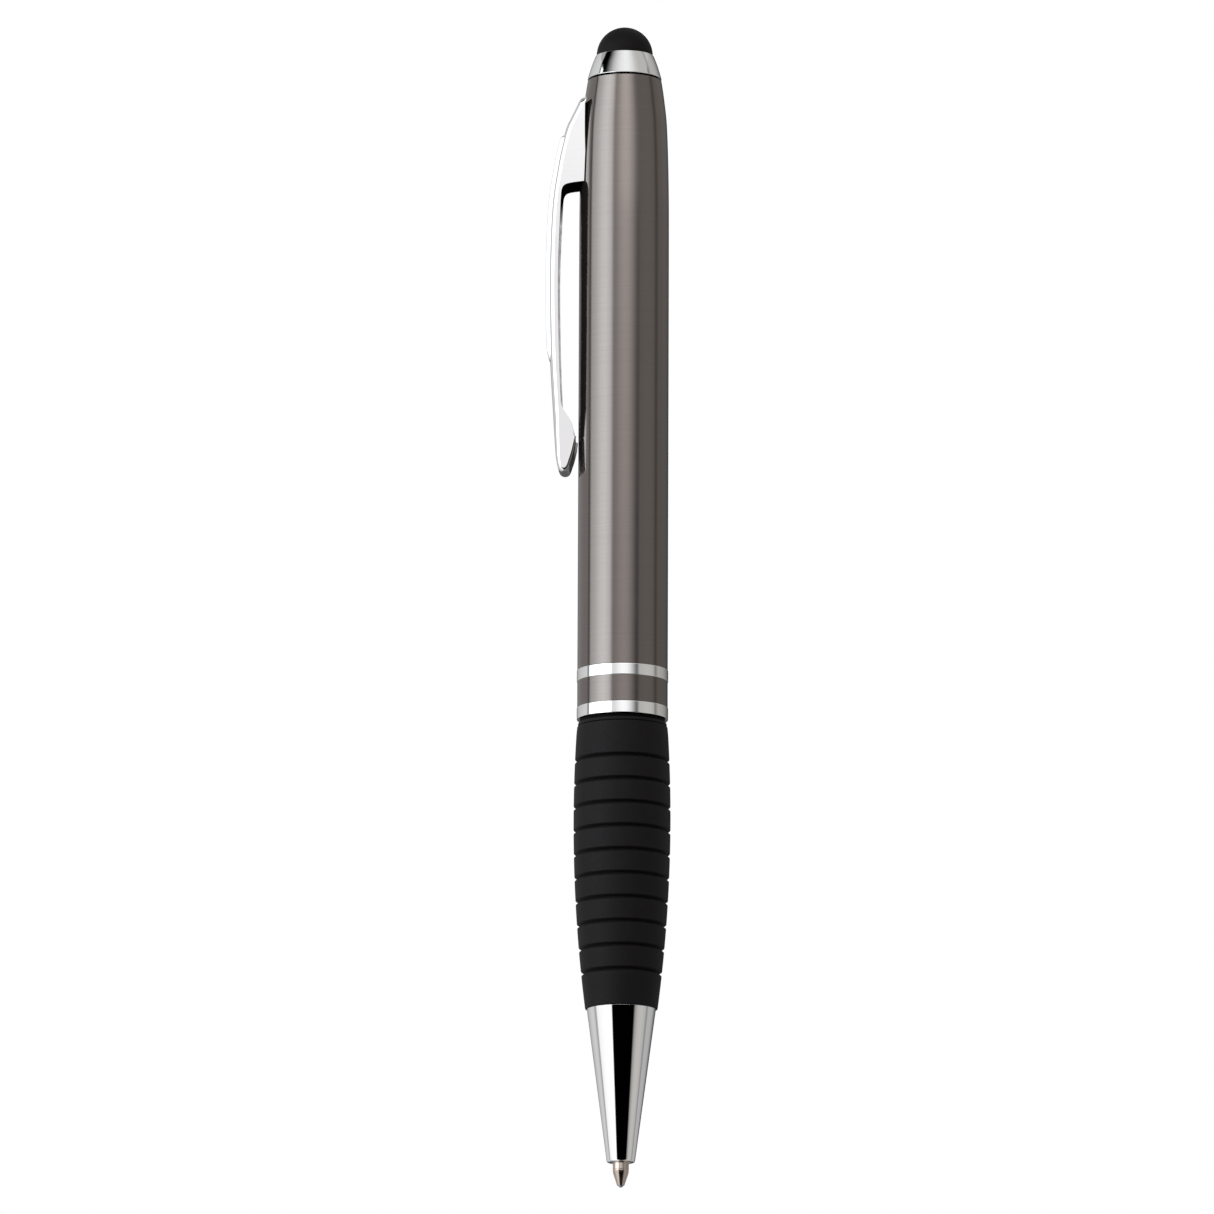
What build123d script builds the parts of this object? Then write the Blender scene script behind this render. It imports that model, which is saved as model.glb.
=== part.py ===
from build123d import *
import os
from math import sqrt

# Twist-action ballpoint pen with a soft stylus dome on its top end.
# Millimetres. +Z runs up the pen's axis to the stylus, and the clip is on -X.
# The origin is on the axis at the twist seam, the lower edge of the lower trim ring.
# The lower half (grip, nozzle) is held; the upper half turns on it by half a turn.
# As drawn, the writing tip is out; half a turn draws the refill back by REFILL_TRAVEL.

# Twist seam, rings and upper barrel
RING_Z = 1.40            # top of the lower trim ring
BAND_Z = 4.55            # top of the gunmetal band
BARREL_Z = 5.90          # top of the upper trim ring, where the barrel starts
BARREL_R = 5.35
RING_R = 5.40
BARREL_STRAIGHT_Z = 28.6  # above this the barrel tapers
BARREL_TOP_Z = 77.60
BARREL_TAPER = [(5.335, 52.0), (5.25, 64.3), (5.05, 71.6), (4.74, 75.0)]
BARREL_TOP_R = 4.42
BARREL_BORE_R = 4.80
BARREL_SHOULDER_Z = 62.0  # the bore narrows here, and the mechanism stops on it
BARREL_TOP_BORE_R = 3.95

# Finial and stylus
FINIAL_Z = 77.75
FINIAL_TOP_Z = 80.80
FINIAL_R = 4.42
FINIAL_TOP_R = 3.48
FINIAL_SIDE = [(4.17, 78.75), (3.87, 79.75)]
DOME_R = 3.35
DOME_WALL = 0.75
CORE_R = 2.25
RECESS_R = 3.00          # the dome's bead sits here
RECESS_Z = 79.60
FINIAL_SPIGOT_R = 3.20
FINIAL_SPIGOT_Z = 74.50
CORE_BOTTOM_Z = 72.00
CORE_HEAD_Z = 80.20
INSERT_BOTTOM_Z = 62.40
INSERT_TOP_Z = 76.90

# Grip, nozzle and writing end
WASHER_Z = -0.72         # top of the rubber grip
WASHER_R = 5.15
SEAM_GAP = 0.06          # running gap between the halves
FLANGE_R = 5.00          # flange under the washer, which the grip wraps
FLANGE_Z = -1.60
GRIP_END_Z = -34.60
GRIP_MAX_R = 5.73
GRIP_MAX_Z = -12.0
GRIP_CURVE = 0.00285     # grip radius falls by this times the square of the distance
GROOVE_COUNT = 10
GROOVE_FIRST_Z = -5.05
GROOVE_PITCH = 2.818
GROOVE_DEPTH = 0.34
GROOVE_HALF = 0.27
NOZZLE_R = 4.06
NOZZLE_LIP_Z = -51.95
NOZZLE_LIP_R = 1.76
NOZZLE_END_Z = -52.80
NOZZLE_END_R = 1.65
NOZZLE_CONE_Z = -37.5    # the bore narrows from here to the spring seat
LOWER_TUBE_R = 3.90
LOWER_BORE_R = 3.15
SPIGOT_R = 4.10
SPIGOT_TOP_Z = 13.0
NOZZLE_SPIGOT_R = 3.50
NOZZLE_SPIGOT_Z = -29.3
SEAL_ROOT_R = 3.72       # both ring grooves on the spigot are cut to this
SEAL_HALF = 0.25
SEAL_Z = 4.25
RETAINER_Z = 12.25
RETAINER_R = 4.60

# Refill, ISO 12757 type G2 in size: 98 mm long and 5.8 mm across
REFILL_R = 2.90
REFILL_BORE_R = 2.60
REFILL_TOP_Z = 42.40
REFILL_SHOULDER_Z = -38.0
REFILL_TUBE_Z = (-36.5, 39.9)
PLUG_Z = 38.9
INK_Z = (-31.0, 18.0)
NOSE_R = 1.25
NOSE_END_Z = -51.30
INK_WAY_R = 0.50
TIP_PLUG_R = 0.75        # the tip is pressed into a hole this wide
TIP_PLUG_Z = -46.5
TIP_R = 0.94
TIP_TAPER_Z = -53.75
BALL_R = 0.35
BALL_Z = -55.39
SOCKET_GAP = 0.012

# Return spring
SPRING_SEAT_Z = -46.0
SPRING_R = 1.75
SPRING_WIRE_R = 0.15
SPRING_TURNS = 8

# Twist mechanism
REFILL_TRAVEL = 5.0
PIN_Z = 50.0
PIN_R = 0.55
PIN_HALF = 4.05
GUIDE_R = 3.40
GUIDE_BORE_R = 3.00
GUIDE_BOTTOM_Z = 8.0
GUIDE_TOP_Z = 60.0
CAM_R = 4.20
CAM_BORE_R = 3.50
CAM_BOTTOM_Z = 45.0
HOUSING_BOTTOM_Z = 44.0
HOUSING_TOP_Z = 61.5
CAP_Z = 60.3
BUSH_BORE_R = 4.18
BUSH_TOP_Z = 11.9
PLUNGER_TOP_Z = 54.8

# Clip, a sheet metal channel. Distances are from the pen's axis, towards -X.
CLIP_OUTER = [(5.60, 74.3), (6.85, 71.6), (7.95, 66.8), (8.62, 61.9), (8.90, 54.0),
              (8.76, 44.8), (8.35, 37.4), (7.90, 30.5)]
CLIP_HEEL = [(6.05, 29.9), (5.55, 32.0), (5.42, 33.0), (5.66, 34.0), (6.20, 35.4),
             (6.85, 36.7), (7.38, 38.0)]
CLIP_RIM = [(7.38, 38.0), (7.62, 45.0), (7.75, 54.0), (7.62, 62.0)]
CLIP_BACK = 4.40         # the root is drawn this deep, then cut to clear the barrel
CLIP_GAP = 0.08          # clearance between the root and the barrel
BRIDGE_BACK = 5.50
BRIDGE_FRONT = 6.00
BRIDGE_Z = (66.8, 70.4)
CLIP_ROOT_Z = 65.2
CLIP_TOP_Z = 75.0
CLIP_TOP_HALF = 2.75
CLIP_END_Z = 29.2
CLIP_END_HALF = 2.10
SHEET = 0.50
PLATE_Z = (43.2, 70.7)
PLATE_THICK = 0.35
PLATE_INSET = 0.45
TAB_Z = (67.5, 69.5)
TAB_HALF = 1.15
TAB_END = 3.20
TAB_GAP = 0.60
TAB_DEPTH_GAP = 0.35
POCKET_HALF = 1.35


def lathe(points):
    """Turn a closed outline of (radius, z) points about the pen's axis."""
    corners = [(r, 0, z) for r, z in points]
    return revolve(make_face(Polyline(*corners, close=True)), Axis.Z)


def tube(r_in, r_out, z_low, z_high):
    return lathe([(r_in, z_low), (r_out, z_low), (r_out, z_high), (r_in, z_high)])


def block(x_range, y_half, z_range):
    """A box across the XZ plane."""
    x_low, x_high = x_range
    z_low, z_high = z_range
    body = Box(x_high - x_low, 2 * y_half, z_high - z_low)
    return Pos((x_low + x_high) / 2, 0, (z_low + z_high) / 2) * body


def rims_of_radius(body, radius):
    circles = body.edges().filter_by(GeomType.CIRCLE)
    return [edge for edge in circles if abs(edge.radius - radius) < 0.01]


def outline(*edges):
    """A flat face inside edges that follow one another round a loop."""
    return make_face(Curve() + list(edges))


def at_y0(points):
    return [(x, 0, z) for x, z in points]


# Upper half ---------------------------------------------------------------

def upper_barrel():
    side = Line(*at_y0([(BARREL_R, BARREL_Z), (BARREL_R, BARREL_STRAIGHT_Z)]))
    taper = Spline(*at_y0([(BARREL_R, BARREL_STRAIGHT_Z)] + BARREL_TAPER
                          + [(BARREL_TOP_R, BARREL_TOP_Z)]))
    bore = Polyline(*at_y0([(BARREL_TOP_R, BARREL_TOP_Z), (BARREL_TOP_BORE_R, BARREL_TOP_Z),
                            (BARREL_TOP_BORE_R, BARREL_SHOULDER_Z),
                            (BARREL_BORE_R, BARREL_SHOULDER_Z), (BARREL_BORE_R, BARREL_Z),
                            (BARREL_R, BARREL_Z)]))
    shell = revolve(outline(side, taper, bore), Axis.Z)
    slot = block((-BARREL_R - 1, -TAB_END), POCKET_HALF, tab_pocket_z())
    return shell - slot


def tab_pocket_z():
    return (TAB_Z[0] - TAB_GAP, TAB_Z[1] + TAB_GAP)


def top_insert():
    """Plug that holds the clip's tab and takes the finial's spigot and the stylus core."""
    spigot_floor = FINIAL_SPIGOT_Z - 0.3
    core_floor = CORE_BOTTOM_Z - 0.4
    body = lathe([(0, INSERT_BOTTOM_Z), (BARREL_TOP_BORE_R, INSERT_BOTTOM_Z),
                  (BARREL_TOP_BORE_R, INSERT_TOP_Z), (FINIAL_SPIGOT_R, INSERT_TOP_Z),
                  (FINIAL_SPIGOT_R, spigot_floor), (CORE_R, spigot_floor),
                  (CORE_R, core_floor), (0, core_floor)])
    return body - block((-BARREL_R, -TAB_END + TAB_DEPTH_GAP), POCKET_HALF, tab_pocket_z())


def finial_ring():
    return lathe([(FINIAL_R, FINIAL_Z), *FINIAL_SIDE, (FINIAL_TOP_R, FINIAL_TOP_Z),
                  (RECESS_R, FINIAL_TOP_Z), (RECESS_R, RECESS_Z), (CORE_R, RECESS_Z),
                  (CORE_R, FINIAL_SPIGOT_Z), (FINIAL_SPIGOT_R, FINIAL_SPIGOT_Z),
                  (FINIAL_SPIGOT_R, FINIAL_Z)])


def quarter_arc(radius):
    """Quarter circle from the dome's rim to its top."""
    mid = radius * sqrt(0.5)
    return ThreePointArc(*at_y0([(radius, FINIAL_TOP_Z), (mid, FINIAL_TOP_Z + mid),
                                 (0, FINIAL_TOP_Z + radius)]))


def stylus_dome():
    """Hollow half sphere with a bead that sits in the finial's recess."""
    inner_r = DOME_R - DOME_WALL
    top = Line(*at_y0([(0, FINIAL_TOP_Z + DOME_R), (0, FINIAL_TOP_Z + inner_r)]))
    bead = Polyline(*at_y0([(inner_r, FINIAL_TOP_Z), (CORE_R, FINIAL_TOP_Z), (CORE_R, RECESS_Z),
                            (RECESS_R, RECESS_Z), (RECESS_R, FINIAL_TOP_Z),
                            (DOME_R, FINIAL_TOP_Z)]))
    return revolve(outline(quarter_arc(DOME_R), top, quarter_arc(inner_r), bead), Axis.Z)


def stylus_core():
    """Stud with a rounded head inside the dome."""
    head = Pos(0, 0, CORE_HEAD_Z) * Sphere(CORE_R)
    upper = head & (Pos(0, 0, CORE_HEAD_Z + CORE_R) * Box(8, 8, 2 * CORE_R))
    return tube(0, CORE_R, CORE_BOTTOM_Z, CORE_HEAD_Z) + upper


def trim_ring(z_low, z_high):
    return tube(BARREL_BORE_R, RING_R, z_low, z_high)


def barrel_bush():
    return tube(BUSH_BORE_R, BARREL_BORE_R, 0.05, BUSH_TOP_Z)


# Twist mechanism ----------------------------------------------------------

def cam_slot(start_angle):
    """Left-handed helical slot: half a turn clockwise while it climbs one travel."""
    r_mid = (CAM_R + CAM_BORE_R) / 2
    width = 2 * PIN_R + 0.26
    path = Helix(2 * REFILL_TRAVEL, REFILL_TRAVEL, r_mid, lefthand=True)
    section = Plane(origin=path @ 0, x_dir=(1, 0, 0), z_dir=(0, 1, 0)) * Rectangle(1.6, width)
    ramp = sweep(section, path=path, is_frenet=True)
    ends = [Rot(0, 0, angle) * Pos(r_mid, 0, rise) * Rot(0, 90, 0) * Cylinder(width / 2, 1.6)
            for angle, rise in ((0, 0), (-180, REFILL_TRAVEL))]
    return Rot(0, 0, start_angle) * Pos(0, 0, PIN_Z) * (ramp + ends[0] + ends[1])


def cam_sleeve():
    return tube(CAM_BORE_R, CAM_R, CAM_BOTTOM_Z, GUIDE_TOP_Z) - cam_slot(90) - cam_slot(270)


def mechanism_housing():
    """Tube pressed into the barrel, with a step that carries the cam sleeve."""
    step = tube(CAM_BORE_R + 0.1, CAM_R, HOUSING_BOTTOM_Z, CAM_BOTTOM_Z)
    return tube(CAM_R, BARREL_BORE_R, HOUSING_BOTTOM_Z, HOUSING_TOP_Z) + step


def mechanism_cap():
    return lathe([(0, CAP_Z), (CAM_R, CAP_Z), (CAM_R, HOUSING_TOP_Z), (BARREL_BORE_R, HOUSING_TOP_Z),
                  (BARREL_BORE_R, BARREL_SHOULDER_Z), (0, BARREL_SHOULDER_Z)])


def guide_tube():
    """Straight-slotted tube that stops the drive pin from turning."""
    half = PIN_R + 0.08
    low, high = PIN_Z - 0.25, PIN_Z + REFILL_TRAVEL + 0.25
    slot = Pos(0, 0, (low + high) / 2) * Box(2 * half, 9, high - low)
    ends = [Pos(0, 0, z) * Rot(90, 0, 0) * Cylinder(half, 9) for z in (low, high)]
    return tube(GUIDE_BORE_R, GUIDE_R, GUIDE_BOTTOM_Z, GUIDE_TOP_Z) - slot - ends[0] - ends[1]


def plunger():
    """Rod on top of the refill, with the drive pin's hole and a core hole in its end."""
    body = tube(0, REFILL_R, REFILL_TOP_Z, PLUNGER_TOP_Z)
    cross_hole = Pos(0, 0, PIN_Z) * Rot(90, 0, 0) * Cylinder(PIN_R, 9)
    core_hole = tube(0, 1.6, PIN_Z + 2.4, PLUNGER_TOP_Z + 1)
    return body - cross_hole - core_hole


def drive_pin():
    return Pos(0, 0, PIN_Z) * Rot(90, 0, 0) * Cylinder(PIN_R, 2 * PIN_HALF)


# Lower half ---------------------------------------------------------------

def lower_barrel():
    """Tube under the grip; its spigot is the bearing for the upper half."""
    body = lathe([(NOZZLE_SPIGOT_R, GRIP_END_Z), (LOWER_TUBE_R, GRIP_END_Z),
                  (LOWER_TUBE_R, FLANGE_Z), (FLANGE_R, FLANGE_Z), (FLANGE_R, WASHER_Z),
                  (SPIGOT_R, WASHER_Z), (SPIGOT_R, SPIGOT_TOP_Z), (GUIDE_R, SPIGOT_TOP_Z),
                  (GUIDE_R, GUIDE_BOTTOM_Z), (LOWER_BORE_R, GUIDE_BOTTOM_Z),
                  (LOWER_BORE_R, NOZZLE_SPIGOT_Z), (NOZZLE_SPIGOT_R, NOZZLE_SPIGOT_Z)])
    for z in (SEAL_Z, RETAINER_Z):
        body -= tube(SEAL_ROOT_R, FLANGE_R, z - SEAL_HALF, z + SEAL_HALF)
    return body


def friction_ring():
    """O-ring that fills its groove between the two halves."""
    wire_r = 0.222
    return Pos(0, 0, SEAL_Z) * Torus(SEAL_ROOT_R + wire_r + 0.003, wire_r)


def retaining_ring():
    """Split ring that keeps the upper half on the spigot."""
    half = SEAL_HALF - 0.03
    ring = tube(SEAL_ROOT_R, RETAINER_R, RETAINER_Z - half, RETAINER_Z + half)
    return ring - Pos(SPIGOT_R, 0, RETAINER_Z) * Box(2, 1.6, 2)


def thrust_washer():
    return tube(SPIGOT_R, WASHER_R, WASHER_Z, -SEAM_GAP)


def grip_radius(z):
    return GRIP_MAX_R - GRIP_CURVE * (z - GRIP_MAX_Z) ** 2


def groove(z):
    """V-groove cutter; it reaches as far outside the grip as the groove is deep."""
    bottom = grip_radius(z) - GROOVE_DEPTH
    mouth = bottom + 2 * GROOVE_DEPTH
    return lathe([(bottom, z), (mouth, z - 2 * GROOVE_HALF), (mouth, z + 2 * GROOVE_HALF)])


def grip_sleeve():
    """Rubber sleeve whose side is a parabola, so one Bezier curve draws it."""
    top, low = WASHER_Z, GRIP_END_Z
    slope = -2 * GRIP_CURVE * (top - GRIP_MAX_Z)
    control = (grip_radius(top) + slope * (low - top) / 2, (top + low) / 2)
    side = Bezier(*at_y0([(grip_radius(top), top), control, (grip_radius(low), low)]))
    inside = Polyline(*at_y0([(grip_radius(low), low), (LOWER_TUBE_R, low),
                              (LOWER_TUBE_R, FLANGE_Z), (FLANGE_R, FLANGE_Z), (FLANGE_R, top),
                              (grip_radius(top), top)]))
    body = revolve(outline(side, inside), Axis.Z)
    rims = rims_of_radius(body, grip_radius(low)) + rims_of_radius(body, grip_radius(top))
    body = fillet(rims, 0.15)
    for i in range(GROOVE_COUNT):
        body -= groove(GROOVE_FIRST_Z - i * GROOVE_PITCH)
    return body


def nozzle():
    """Cone with a spigot for the lower barrel and a seat for the spring."""
    tip_bore, nose_bore, spring_bore = TIP_R + 0.09, NOSE_R + 0.11, SPRING_R + 0.30
    body = lathe([(NOZZLE_R, GRIP_END_Z), (NOZZLE_LIP_R, NOZZLE_LIP_Z),
                  (NOZZLE_END_R, NOZZLE_END_Z), (tip_bore, NOZZLE_END_Z),
                  (tip_bore, NOSE_END_Z - 0.2), (nose_bore, NOSE_END_Z - 0.2),
                  (nose_bore, SPRING_SEAT_Z), (spring_bore, SPRING_SEAT_Z),
                  (LOWER_BORE_R, NOZZLE_CONE_Z), (LOWER_BORE_R, NOZZLE_SPIGOT_Z),
                  (NOZZLE_SPIGOT_R, NOZZLE_SPIGOT_Z), (NOZZLE_SPIGOT_R, GRIP_END_Z)])
    return fillet(rims_of_radius(body, NOZZLE_END_R), 0.4)


def return_spring():
    """Coil between the nozzle's seat and the refill's shoulder."""
    end_gap = SPRING_WIRE_R + 0.02
    low = SPRING_SEAT_Z + end_gap
    height = REFILL_SHOULDER_Z - end_gap - low
    path = Helix(height / SPRING_TURNS, height, SPRING_R)
    start = Plane(origin=path @ 0, z_dir=path % 0)
    return Pos(0, 0, low) * sweep(start * Circle(SPRING_WIRE_R), path=path, is_frenet=True)


# Refill -------------------------------------------------------------------

def refill_tube():
    return tube(REFILL_BORE_R, REFILL_R, *REFILL_TUBE_Z)


def refill_end_plug():
    """Plastic plug with a vent and the row of notches round its end."""
    vent_r = 0.4
    step_z = REFILL_TUBE_Z[1]
    body = lathe([(vent_r, PLUG_Z), (REFILL_BORE_R, PLUG_Z), (REFILL_BORE_R, step_z),
                  (REFILL_R, step_z), (REFILL_R, REFILL_TOP_Z), (vent_r, REFILL_TOP_Z)])
    for i in range(6):
        notch = Pos(REFILL_R, 0, REFILL_TOP_Z - 0.6) * Box(1.2, 0.8, 1.2)
        body -= Rot(0, 0, 60 * i) * notch
    return body


def ink_column():
    return tube(0, REFILL_BORE_R, *INK_Z)


def refill_nose():
    """Front plug of the refill with the shoulder that the spring pushes on."""
    top, step_z = INK_Z[0], REFILL_TUBE_Z[0]
    return lathe([(INK_WAY_R, top), (REFILL_BORE_R, top), (REFILL_BORE_R, step_z),
                  (REFILL_R, step_z), (2.0, REFILL_SHOULDER_Z), (NOSE_R, REFILL_SHOULDER_Z),
                  (NOSE_R, NOSE_END_Z), (TIP_PLUG_R, NOSE_END_Z), (TIP_PLUG_R, TIP_PLUG_Z),
                  (INK_WAY_R, TIP_PLUG_Z)])


def refill_tip():
    """Writing tip with the ball's socket and the ink's way to it."""
    lip_r, lip_z, ink_r = 0.43, BALL_Z - 0.11, 0.18
    side = Spline(*at_y0([(TIP_R, TIP_TAPER_Z), (0.70, -54.65), (lip_r, lip_z)]),
                  tangents=[(0, 0, -1), (-0.42, 0, -0.9)])
    rest = Polyline(*at_y0([(lip_r, lip_z), (ink_r, lip_z), (ink_r, TIP_PLUG_Z),
                            (TIP_PLUG_R, TIP_PLUG_Z), (TIP_PLUG_R, NOSE_END_Z),
                            (TIP_R, NOSE_END_Z), (TIP_R, TIP_TAPER_Z)]))
    body = revolve(outline(side, rest), Axis.Z)
    return body - Pos(0, 0, BALL_Z) * Sphere(BALL_R + SOCKET_GAP)


def writing_ball():
    return Pos(0, 0, BALL_Z) * Sphere(BALL_R)


# Clip ---------------------------------------------------------------------

def to_clip_side(points, shift=0.0):
    """Turn (distance, z) points into places on the clip's side of the pen."""
    return [(shift - d, 0, z) for d, z in points]


def clip_prism(inset):
    """Wedge that gives the clip its width, narrower by inset on each side."""
    top, end = CLIP_TOP_HALF - inset, CLIP_END_HALF - inset
    corners = [(0, -end, CLIP_END_Z - 1), (0, end, CLIP_END_Z - 1),
               (0, top, CLIP_TOP_Z + 1), (0, -top, CLIP_TOP_Z + 1)]
    return extrude(make_face(Polyline(*corners, close=True)), 12, dir=(-1, 0, 0))


def clip_blank():
    """The clip's side view, drawn solid through its whole width."""
    first, last = CLIP_OUTER[0], CLIP_OUTER[-1]
    edges = [
        Spline(*to_clip_side(CLIP_OUTER)),
        ThreePointArc(*to_clip_side([last, (6.95, CLIP_END_Z), CLIP_HEEL[0]])),
        Spline(*to_clip_side(CLIP_HEEL)),
        Spline(*to_clip_side(CLIP_RIM)),
        ThreePointArc(*to_clip_side([CLIP_RIM[-1], (7.42, 63.9), (6.7, 64.75)])),
        Polyline(*to_clip_side([(6.7, 64.75), (CLIP_BACK, CLIP_ROOT_Z), (CLIP_BACK, 74.6)])),
        ThreePointArc(*to_clip_side([(CLIP_BACK, 74.6), (5.15, CLIP_TOP_Z - 0.1), first]))]
    return extrude(Pos(0, -4, 0) * outline(*edges), 8, dir=(0, 1, 0))


def clip_hollow():
    """What the channel leaves open, from behind the web to the back."""
    inner = to_clip_side([p for p in CLIP_OUTER if 31 < p[1] < 74], shift=SHEET + 0.04)
    top_z, low_z, chamfer_z, back = 74.2, 31.0, 30.2, -3.5
    top, low = (-5.1, 0, top_z), (-7.35, 0, low_z)
    edges = [Spline(top, *inner, low),
             Polyline(low, (-6.55, 0, chamfer_z), (back, 0, chamfer_z), (back, 0, top_z), top)]
    return extrude(Pos(0, -4, 0) * outline(*edges), 8, dir=(0, 1, 0)) & clip_prism(SHEET)


def clip_arm():
    """Channel with a bridge between its flanges and the tab that enters the barrel."""
    solid = clip_blank() & clip_prism(0)
    long_edges = [e for e in solid.edges() if e.length > 40 and e.center().X < -8.5]
    shell = fillet(long_edges, SHEET) - clip_hollow()
    shell -= Pos(0, 0, CLIP_TOP_Z - 8) * Cylinder(BARREL_R + CLIP_GAP, 20)
    bridge = block((-BRIDGE_FRONT, -BRIDGE_BACK), CLIP_TOP_HALF - 0.3, BRIDGE_Z)
    tab = block((-BRIDGE_BACK - 0.1, -TAB_END), TAB_HALF, TAB_Z)
    return shell + bridge + tab


def clip_plate():
    low, high = PLATE_Z
    strip = block((-12, 0), 4, (low, high)) & clip_prism(PLATE_INSET)
    raised = clip_blank().move(Location((-PLATE_THICK, 0, 0))) & strip
    return raised - clip_blank()


NODES = {
    "stylus_dome": stylus_dome, "stylus_core": stylus_core, "finial_ring": finial_ring,
    "top_insert": top_insert, "upper_barrel": upper_barrel,
    "upper_trim_ring": lambda: trim_ring(BAND_Z, BARREL_Z),
    "center_band": lambda: tube(BARREL_BORE_R, BARREL_R, RING_Z, BAND_Z),
    "lower_trim_ring": lambda: trim_ring(0, RING_Z),
    "barrel_bush": barrel_bush, "cam_sleeve": cam_sleeve, "mechanism_housing": mechanism_housing,
    "mechanism_cap": mechanism_cap, "guide_tube": guide_tube, "plunger": plunger,
    "drive_pin": drive_pin, "lower_barrel": lower_barrel, "friction_ring": friction_ring,
    "retaining_ring": retaining_ring, "thrust_washer": thrust_washer, "grip_sleeve": grip_sleeve,
    "nozzle": nozzle, "return_spring": return_spring, "refill_tube": refill_tube,
    "refill_end_plug": refill_end_plug, "ink_column": ink_column, "refill_nose": refill_nose,
    "refill_tip": refill_tip, "writing_ball": writing_ball,
    "clip_arm": clip_arm, "clip_plate": clip_plate,
}

os.makedirs("parts", exist_ok=True)
for name, make in NODES.items():
    export_step(make(), f"parts/{name}.step")
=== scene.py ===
"""Twist-action ballpoint pen with a stylus dome: detailed meshes, materials and a studio.

Outlines are (radius, z) points in millimetres about the pen's axis; the clip's are
(distance from the axis towards -X, z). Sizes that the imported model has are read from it.
"""

import math

import bmesh
import bpy
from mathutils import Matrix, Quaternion, Vector


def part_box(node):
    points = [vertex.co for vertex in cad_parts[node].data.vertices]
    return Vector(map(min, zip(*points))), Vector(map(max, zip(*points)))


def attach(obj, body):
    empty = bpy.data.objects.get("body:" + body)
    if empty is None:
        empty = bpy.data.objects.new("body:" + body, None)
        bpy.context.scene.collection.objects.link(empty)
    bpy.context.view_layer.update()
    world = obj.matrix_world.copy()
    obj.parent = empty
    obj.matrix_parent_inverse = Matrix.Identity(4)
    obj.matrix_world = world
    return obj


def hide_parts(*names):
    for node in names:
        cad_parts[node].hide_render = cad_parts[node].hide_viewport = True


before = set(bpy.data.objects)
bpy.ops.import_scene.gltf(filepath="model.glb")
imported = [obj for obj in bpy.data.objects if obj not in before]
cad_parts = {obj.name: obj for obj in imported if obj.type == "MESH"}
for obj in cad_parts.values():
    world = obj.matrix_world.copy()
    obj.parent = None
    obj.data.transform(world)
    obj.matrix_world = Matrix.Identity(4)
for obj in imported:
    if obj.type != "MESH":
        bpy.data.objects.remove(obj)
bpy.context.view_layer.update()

MM = 0.001
SEGMENTS = 160          # round the pen's axis
CORNER_STEPS = 5        # points on a rounded corner, less one
CORNER_SHARE = 0.4      # the most of a side that a rounded corner takes
SUPPORT_SHARE = 0.2     # from a corner's ends to its support points, as a share of its reach
SHARP_ANGLE = math.radians(50)


# Shape helpers ------------------------------------------------------------

def span(node):
    """(outer radius, lowest z, highest z) of a turned CAD node, in mm."""
    low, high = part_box(node)
    return high.y / MM, low.z / MM, high.z / MM


def rounded(corners):
    """Round a closed outline's (u, v, rounding) corners, with a support point beside each."""
    points = []
    for i, (u, v, bend) in enumerate(corners):
        here = Vector((u, v))
        back = Vector(corners[i - 1][:2]) - here
        ahead = Vector(corners[(i + 1) % len(corners)][:2]) - here
        if not bend:
            points.append(here)
            continue
        reach = min(bend / math.tan(back.angle(ahead) / 2), CORNER_SHARE * back.length,
                    CORNER_SHARE * ahead.length)
        start = here + back.normalized() * reach
        end = here + ahead.normalized() * reach
        points.append(start + back.normalized() * SUPPORT_SHARE * reach)
        for k in range(CORNER_STEPS + 1):
            t = k / CORNER_STEPS
            points.append(start * (1 - t) ** 2 + here * 2 * t * (1 - t) + end * t * t)
        points.append(end + ahead.normalized() * SUPPORT_SHARE * reach)
    return points


def curve_through(points, steps):
    """Points of a smooth curve through the given ones, whatever their length as tuples."""
    ends = [tuple(2 * a - b for a, b in zip(points[0], points[1]))]
    tail = [tuple(2 * a - b for a, b in zip(points[-1], points[-2]))]
    knots = ends + list(points) + tail
    result = []
    for p0, p1, p2, p3 in zip(knots, knots[1:], knots[2:], knots[3:]):
        for k in range(steps):
            t = k / steps
            result.append(tuple(
                0.5 * (2 * b + (c - a) * t + (2 * a - 5 * b + 4 * c - d) * t * t
                       + (3 * b - a - 3 * c + d) * t ** 3)
                for a, b, c, d in zip(p0, p1, p2, p3)))
    result.append(tuple(points[-1]))
    return result


def make_piece(name, mesh, body, material, replaces=()):
    """Turn a bmesh into a smooth-shaded piece that rides on a body."""
    bmesh.ops.recalc_face_normals(mesh, faces=mesh.faces)
    data = bpy.data.meshes.new(name)
    mesh.to_mesh(data)
    mesh.free()
    data.shade_smooth()
    data.set_sharp_from_angle(angle=SHARP_ANGLE)
    piece = bpy.data.objects.new(name, data)
    bpy.context.scene.collection.objects.link(piece)
    data.materials.append(material)
    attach(piece, body)
    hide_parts(*replaces)
    return piece


def turned(outline):
    """Turn a closed outline about the pen's axis into a bmesh."""
    mesh = bmesh.new()
    rings = []
    for radius, z in outline:
        if radius < 1e-4:
            rings.append([mesh.verts.new((0, 0, z * MM))])
            continue
        angles = (2 * math.pi * k / SEGMENTS for k in range(SEGMENTS))
        rings.append([mesh.verts.new((radius * math.cos(a) * MM, radius * math.sin(a) * MM, z * MM))
                      for a in angles])
    for low, high in zip(rings, rings[1:] + rings[:1]):
        for k in range(SEGMENTS):
            quad = (low[k % len(low)], low[(k + 1) % len(low)],
                    high[(k + 1) % len(high)], high[k % len(high)])
            corners = list(dict.fromkeys(quad))
            if len(corners) > 2:
                mesh.faces.new(corners)
    return mesh


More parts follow.
